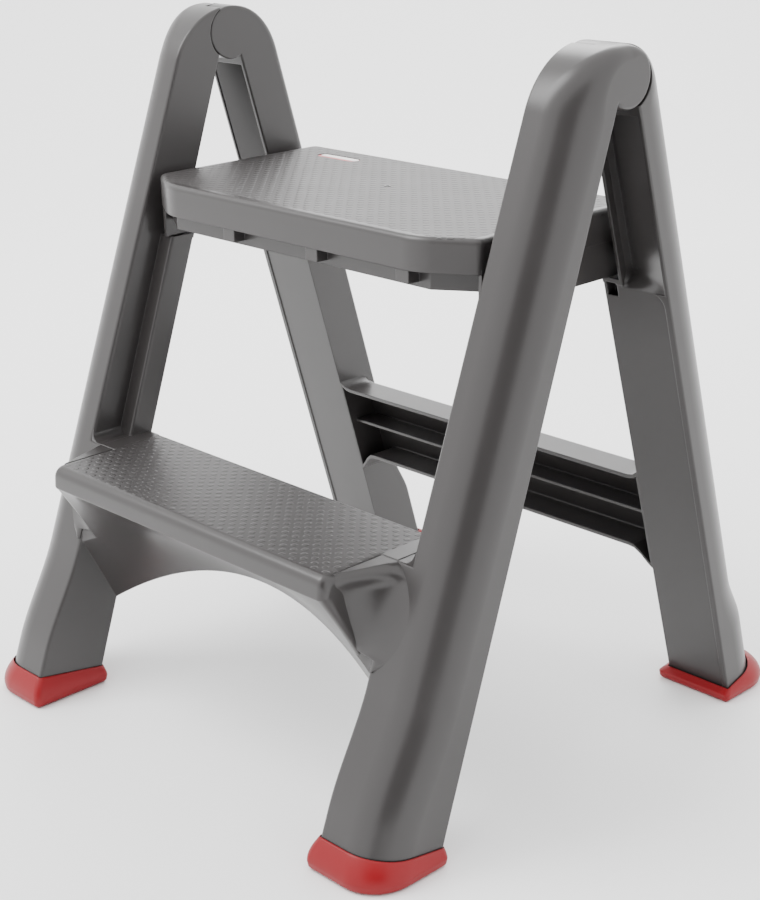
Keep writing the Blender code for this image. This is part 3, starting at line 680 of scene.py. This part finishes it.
def tread_fillet(name):
    """Fillet between the low tread and the inner wall of a front leg, with the shelf under it."""
    r, n = 0.0085, 10
    y0 = face_y(FRONT, STEP_TOP) + 0.0004
    y1 = open_y(FRONT, STEP_TOP) - 0.0035
    z0 = STEP_TOP - 0.0003
    lean = FRONT["face_slope"]
    shelf_x = 0.1640                  # inner end of the shelf
    rings = []
    for i in range(13):
        y = y0 + (y1 - y0) * i / 12
        ring = []
        for k in range(n + 1):
            a = pi / 2 * k / n
            z = z0 + r - r * cos(a)
            ring.append((LEG_IN + 0.0004 - r + r * sin(a), y + lean * (z - z0), z))
        ring += [(LEG_IN + 0.002, y + lean * r, z0 + r), (LEG_IN + 0.002, y, z0 - 0.002),
                 (shelf_x, y, z0 - 0.002), (shelf_x, y, z0)]
        rings.append(ring)
    return mesh_object(name, skin(rings))


def channel_liner(name):
    """Slanted web inside the open upper part of a rear leg."""
    bm = bmesh.new()
    x0, x1, z0, z1 = LEG_IN + 0.0012, LEG_OUT - WALL, PANEL_TOP - 0.0024, CHANNEL_TOP - 0.0004
    nx, nz = 20, 40
    thick, depth = 0.0008, 0.0150
    sheets = []
    for back in (0.0, thick):
        rows = []
        for i in range(nx + 1):
            row = []
            for k in range(nz + 1):
                s, t = i / nx, k / nz
                x, z = x0 + (x1 - x0) * s, z0 + (z1 - z0) * t
                dish = (1 - s) * ease(min(s / 0.12, 1)) * ease(min(t / 0.10, 1))
                u = open_u(REAR, z) + thick + depth * dish
                row.append(bm.verts.new((x, PIVOT_Y + u + back, z)))
            rows.append(row)
        sheets.append(rows)
    a, b = sheets
    for i in range(nx):
        for k in range(nz):
            bm.faces.new((a[i][k], a[i + 1][k], a[i + 1][k + 1], a[i][k + 1]))
            bm.faces.new((b[i][k], b[i][k + 1], b[i + 1][k + 1], b[i + 1][k]))
    for i in range(nx):
        bm.faces.new((a[i][0], b[i][0], b[i + 1][0], a[i + 1][0]))
        bm.faces.new((a[i][nz], a[i + 1][nz], b[i + 1][nz], b[i][nz]))
    for k in range(nz):
        bm.faces.new((a[0][k], a[0][k + 1], b[0][k + 1], b[0][k]))
        bm.faces.new((a[nx][k], b[nx][k], b[nx][k + 1], a[nx][k + 1]))
    return mesh_object(name, bm)


def shade(obj):
    """Smooth shading that keeps the real edges."""
    mesh = obj.data
    mesh.polygons.foreach_set("use_smooth", [True] * len(mesh.polygons))
    mesh.set_sharp_from_angle(angle=radians(28))
    mod = obj.modifiers.new("normals", "WEIGHTED_NORMAL")
    mod.keep_sharp = True
    mod.weight = 80


def shader_node(nt, kind, **inputs):
    """Shader node of a kind with some inputs set."""
    node = nt.nodes.new(kind)
    for key, value in inputs.items():
        node.inputs[key.replace("_", " ")].default_value = value
    return node


def maths(nt, op, a, b=None):
    """Math node on numbers or sockets; its output socket."""
    node = nt.nodes.new("ShaderNodeMath")
    node.operation = op
    for i, v in enumerate((a, b)):
        if v is None:
            continue
        if isinstance(v, (int, float)):
            node.inputs[i].default_value = v
        else:
            nt.links.new(v, node.inputs[i])
    return node.outputs[0]


def smooth_step(nt, value, lo, hi):
    """Map Range node from 0 at lo to 1 at hi; its output socket."""
    node = nt.nodes.new("ShaderNodeMapRange")
    node.interpolation_type = "SMOOTHSTEP"
    nt.links.new(value, node.inputs["Value"])
    node.inputs["From Min"].default_value = lo
    node.inputs["From Max"].default_value = hi
    return node.outputs["Result"]


def moulded(name, rgb, rough, spread=0.06, tread=None, soft=SOFT_EDGE, specular=0.5, metallic=0.0):
    """Moulded plastic: faint colour drift, fine spark-eroded grain, softened edges.

    tread gives (z of the tread, x half width, y front, y back) of an embossed field.
    """
    mat = bpy.data.materials.new(name)
    mat.use_nodes = True
    nt = mat.node_tree
    bsdf = nt.nodes["Principled BSDF"]
    bsdf.inputs["IOR"].default_value = 1.5
    bsdf.inputs["Specular IOR Level"].default_value = specular
    bsdf.inputs["Metallic"].default_value = metallic
    coord = nt.nodes.new("ShaderNodeTexCoord").outputs["Object"]
    drift = shader_node(nt, "ShaderNodeTexNoise", Scale=9.0, Detail=3.0, Roughness=0.55)
    nt.links.new(coord, drift.inputs["Vector"])
    ramp = nt.nodes.new("ShaderNodeValToRGB")
    lo, hi = ramp.color_ramp.elements
    lo.position, hi.position = 0.1, 0.9
    lo.color = (*(c * (1 - spread) for c in rgb), 1)
    hi.color = (*(c * (1 + spread) for c in rgb), 1)
    nt.links.new(drift.outputs["Fac"], ramp.inputs["Fac"])
    nt.links.new(ramp.outputs["Color"], bsdf.inputs["Base Color"])
    flow = shader_node(nt, "ShaderNodeTexNoise", Scale=38.0, Detail=2.0)
    nt.links.new(coord, flow.inputs["Vector"])
    rough_range = nt.nodes.new("ShaderNodeMapRange")
    nt.links.new(flow.outputs["Fac"], rough_range.inputs["Value"])
    rough_range.inputs["From Min"].default_value = 0.0
    rough_range.inputs["From Max"].default_value = 1.0
    rough_range.inputs["To Min"].default_value = rough - ROUGH_SPREAD
    rough_range.inputs["To Max"].default_value = rough + ROUGH_SPREAD
    nt.links.new(rough_range.outputs["Result"], bsdf.inputs["Roughness"])
    edge = nt.nodes.new("ShaderNodeBevel")
    edge.samples = 6
    edge.inputs["Radius"].default_value = soft
    fine = shader_node(nt, "ShaderNodeTexNoise", Scale=1400.0, Detail=1.0)
    nt.links.new(coord, fine.inputs["Vector"])
    bump = nt.nodes.new("ShaderNodeBump")
    bump.inputs["Strength"].default_value = 0.35
    bump.inputs["Distance"].default_value = GRAIN
    nt.links.new(fine.outputs["Fac"], bump.inputs["Height"])
    nt.links.new(edge.outputs["Normal"], bump.inputs["Normal"])
    out = bump.outputs["Normal"]
    if tread:
        top, half, y0, y1 = tread
        sep = nt.nodes.new("ShaderNodeSeparateXYZ")
        nt.links.new(coord, sep.inputs[0])
        x, y, z = sep.outputs
        k = pi / TREAD_PITCH
        fx = maths(nt, "COSINE", maths(nt, "MULTIPLY", x, k))
        fy = maths(nt, "COSINE", maths(nt, "MULTIPLY", y, k))
        studs = smooth_step(nt, maths(nt, "MULTIPLY", fx, fy), 0.12, 0.62)
        fade = TREAD_FADE
        mask = smooth_step(nt, maths(nt, "ABSOLUTE", x), half + fade, half - fade)
        for m in (smooth_step(nt, y, y0 - fade, y0 + fade),
                  smooth_step(nt, y, y1 + fade, y1 - fade),
                  smooth_step(nt, z, top - 0.0016, top - 0.0008)):
            mask = maths(nt, "MULTIPLY", mask, m)
        emboss = nt.nodes.new("ShaderNodeBump")
        emboss.inputs["Strength"].default_value = 1.0
        emboss.inputs["Distance"].default_value = TREAD_RELIEF
        nt.links.new(maths(nt, "MULTIPLY", studs, mask), emboss.inputs["Height"])
        nt.links.new(out, emboss.inputs["Normal"])
        out = emboss.outputs["Normal"]
        worn = maths(nt, "ADD", rough_range.outputs["Result"],
                     maths(nt, "MULTIPLY", mask, TREAD_WEAR))
        nt.links.new(worn, bsdf.inputs["Roughness"])
    nt.links.new(out, bsdf.inputs["Normal"])
    return mat


def dress(obj, mat, body, slot, *nodes):
    """Finish a piece: material, shading, the nodes it replaces and its body; slot is not used."""
    obj.data.materials.clear()
    obj.data.materials.append(mat)
    shade(obj)
    if nodes:
        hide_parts(*nodes)
    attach(obj, body)


front_mat = moulded("grey_front", GREY, 0.30,
                    tread=(STEP_TOP, 0.1615, -0.2050, -0.100))
rear_mat = moulded("grey_rear", GREY, 0.30)
top_mat = moulded("grey_top", GREY, 0.33,
                  tread=(TOP_Z, 0.1765, TOP_FRONT + 0.0085, TOP_REAR - 0.0045))
red_mat = moulded("red_cap", RED, 0.40, spread=0.08, soft=0.0012, specular=0.3)
steel_mat = moulded("pin_steel", (0.5, 0.5, 0.51), 0.34, soft=0.0004, metallic=0.9)
white_mat = moulded("label_white", (0.86, 0.83, 0.82), 0.38, spread=0.02, soft=0.0003)
rim_mat = moulded("label_red", (0.62, 0.06, 0.08), 0.4, spread=0.03, soft=0.0003)

front = moulding("front_frame_shell", FRONT, lower_step())
recessed_panel(front, FRONT)
dress(front, front_mat, "front", "grey", "front_frame")
rear = moulding("rear_frame_shell", REAR, crossbar())
recessed_panel(rear, REAR)
dress(rear, rear_mat, "rear", "grey", "rear_frame")

top = top_step()
top.name = "top_step_shell"
dress(top, top_mat, "top", "grey", "top_step")

for leg, where in ((FRONT, "front"), (REAR, "rear")):
    cap = foot_cap(where + "_right_cap", leg)
    left = mirrored(cap, where + "_left_cap")
    dress(cap, red_mat, where, "red", where + "_right_foot")
    dress(left, red_mat, where, "red", where + "_left_foot")

# blank two-tone inlay in the slot at the rear left of the top step
cx, cy, length, width = LABEL
z0, z1 = TOP_Z - LABEL_DEPTH + GAP, TOP_Z - 0.0003
inlay = prism("inlay_base", pill(LABEL, -0.0001), z0, z1 - 0.0003)
dress(inlay, rim_mat, "top", "label", "label_insert")
face = prism("inlay_face", pill((cx, cy + 0.0017, length - 0.0035, width - 0.0050), 0),
             z0 + 0.0002, z1)
dress(face, white_mat, "top", "label")

# injection gate mark at the middle of the tread
ring = [(0.0011, 0.0), (0.0015, 0.0004), (0.0024, 0.0005), (0.0030, 0.0003), (0.0034, -0.0004)]
n = 40
bm = bmesh.new()
loops = []
for r, h in ring:
    loops.append([bm.verts.new((r * cos(2 * pi * i / n), GATE_Y + r * sin(2 * pi * i / n),
                                TOP_Z + h)) for i in range(n)])
bm.faces.new(loops[0])
for a, b in zip(loops, loops[1:]):
    for i in range(n):
        bm.faces.new((a[i], a[(i + 1) % n], b[(i + 1) % n], b[i]))
gate = mesh_object("gate_mark", bm)
dress(gate, rear_mat, "top", "grey")

# softer joins of the low step with the legs, and the webs in the rear legs' open part
for make, stem in ((end_blend, "step_web"), (tread_fillet, "tread_fillet")):
    piece = make(stem + "_right")
    left = mirrored(piece, stem + "_left")
    dress(piece, front_mat, "front", "grey")
    dress(left, front_mat, "front", "grey")

liner = channel_liner("channel_right")
dress(liner, rear_mat, "rear", "grey")
dress(mirrored(liner, "channel_left"), rear_mat, "rear", "grey")

for name in ("right_hinge_pin", "left_hinge_pin", "right_step_pin", "left_step_pin"):
    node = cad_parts[name]
    if not node.material_slots:
        node.data.materials.append(steel_mat)
    for s in node.material_slots:
        s.material = steel_mat


# ---- floor, light, camera ----------------------------------------------------------------------
def studio_material(name, value, specular):
    """Plain matt grey of the staged set."""
    mat = bpy.data.materials.new(name)
    mat.use_nodes = True
    inputs = mat.node_tree.nodes["Principled BSDF"].inputs
    inputs["Base Color"].default_value = (value, value, value, 1)
    inputs["Roughness"].default_value = 0.9
    inputs["Specular IOR Level"].default_value = specular
    return mat


bm = bmesh.new()
size, bend, high, n = 4.0, 0.9, 3.2, 24
start = 2.0                           # where the floor begins to curve up into the backdrop
profile = [(-size, 0.0)]
profile += [(start + bend * sin(pi / 2 * i / n), bend * (1 - cos(pi / 2 * i / n)))
            for i in range(n + 1)]
profile += [(start + bend, high)]
lines = [[bm.verts.new((x, y, z)) for y, z in profile] for x in (-size, size)]
for i in range(len(profile) - 1):
    bm.faces.new((lines[0][i], lines[0][i + 1], lines[1][i + 1], lines[1][i]))
floor = mesh_object("studio_sweep", bm)
floor.rotation_euler = (0, 0, radians(STUDIO_YAW))
floor.data.materials.append(studio_material("studio_white", 0.93, 0.1))
for p in floor.data.polygons:
    p.use_smooth = True

world = bpy.data.worlds.new("studio")
bpy.context.scene.world = world
world.use_nodes = True
bg = world.node_tree.nodes["Background"]
bg.inputs["Color"].default_value = (1, 1, 1, 1)
bg.inputs["Strength"].default_value = WORLD_STRENGTH


def area(name, loc, target, size_xy, power):
    """Rectangular soft light aimed at a point."""
    data = bpy.data.lights.new(name, "AREA")
    data.shape = "RECTANGLE"
    data.size, data.size_y = size_xy
    data.energy = power
    obj = bpy.data.objects.new(name, data)
    bpy.context.scene.collection.objects.link(obj)
    obj.location = loc
    obj.rotation_euler = (Vector(target) - Vector(loc)).to_track_quat("-Z", "Y").to_euler()


# metres and watts
area("key", (-1.1, -1.3, 2.4), (0, 0, 0.25), (1.5, 1.5), 60)
area("back", (-1.2, 1.8, 2.0), (0, 0, 0.3), (1.6, 1.2), 40)

# dark flag behind the camera; it gives the rounded leg corners their dark core
bm = bmesh.new()
yaw = radians(STUDIO_YAW)
mid, side = Vector((sin(yaw), -cos(yaw), 0)), Vector((cos(yaw), sin(yaw), 0))
flag = []
for z in (0.0, FLAG_HIGH):
    flag.append([bm.verts.new(mid * FLAG_FAR + side * t + Vector((0, 0, z)))
                 for t in (-FLAG_HALF, FLAG_HALF)])
bm.faces.new((flag[0][0], flag[0][1], flag[1][1], flag[1][0]))
card = mesh_object("studio_flag", bm)
card.data.materials.append(studio_material("studio_black", 0.02, 0.5))

cam_data = bpy.data.cameras.new("camera")
cam = bpy.data.objects.new("camera", cam_data)
bpy.context.scene.collection.objects.link(cam)
cam_data.sensor_width = 36.0
cam_data.lens = CAMERA_LENS
cam_data.clip_start, cam_data.clip_end = 0.05, 30
yaw, pitch, roll = (radians(a) for a in CAMERA_TURN)
fwd = -Vector((sin(yaw) * cos(pitch), -cos(yaw) * cos(pitch), sin(pitch)))
right_v = fwd.cross(Vector((0, 0, 1))).normalized()
up_v = right_v.cross(fwd)
r_v = right_v * cos(roll) + up_v * sin(roll)
u_v = up_v * cos(roll) - right_v * sin(roll)
rot = Matrix((r_v, u_v, -fwd)).transposed()
cam.matrix_world = Matrix.Translation(CAMERA_AT) @ rot.to_4x4()
bpy.context.scene.camera = cam
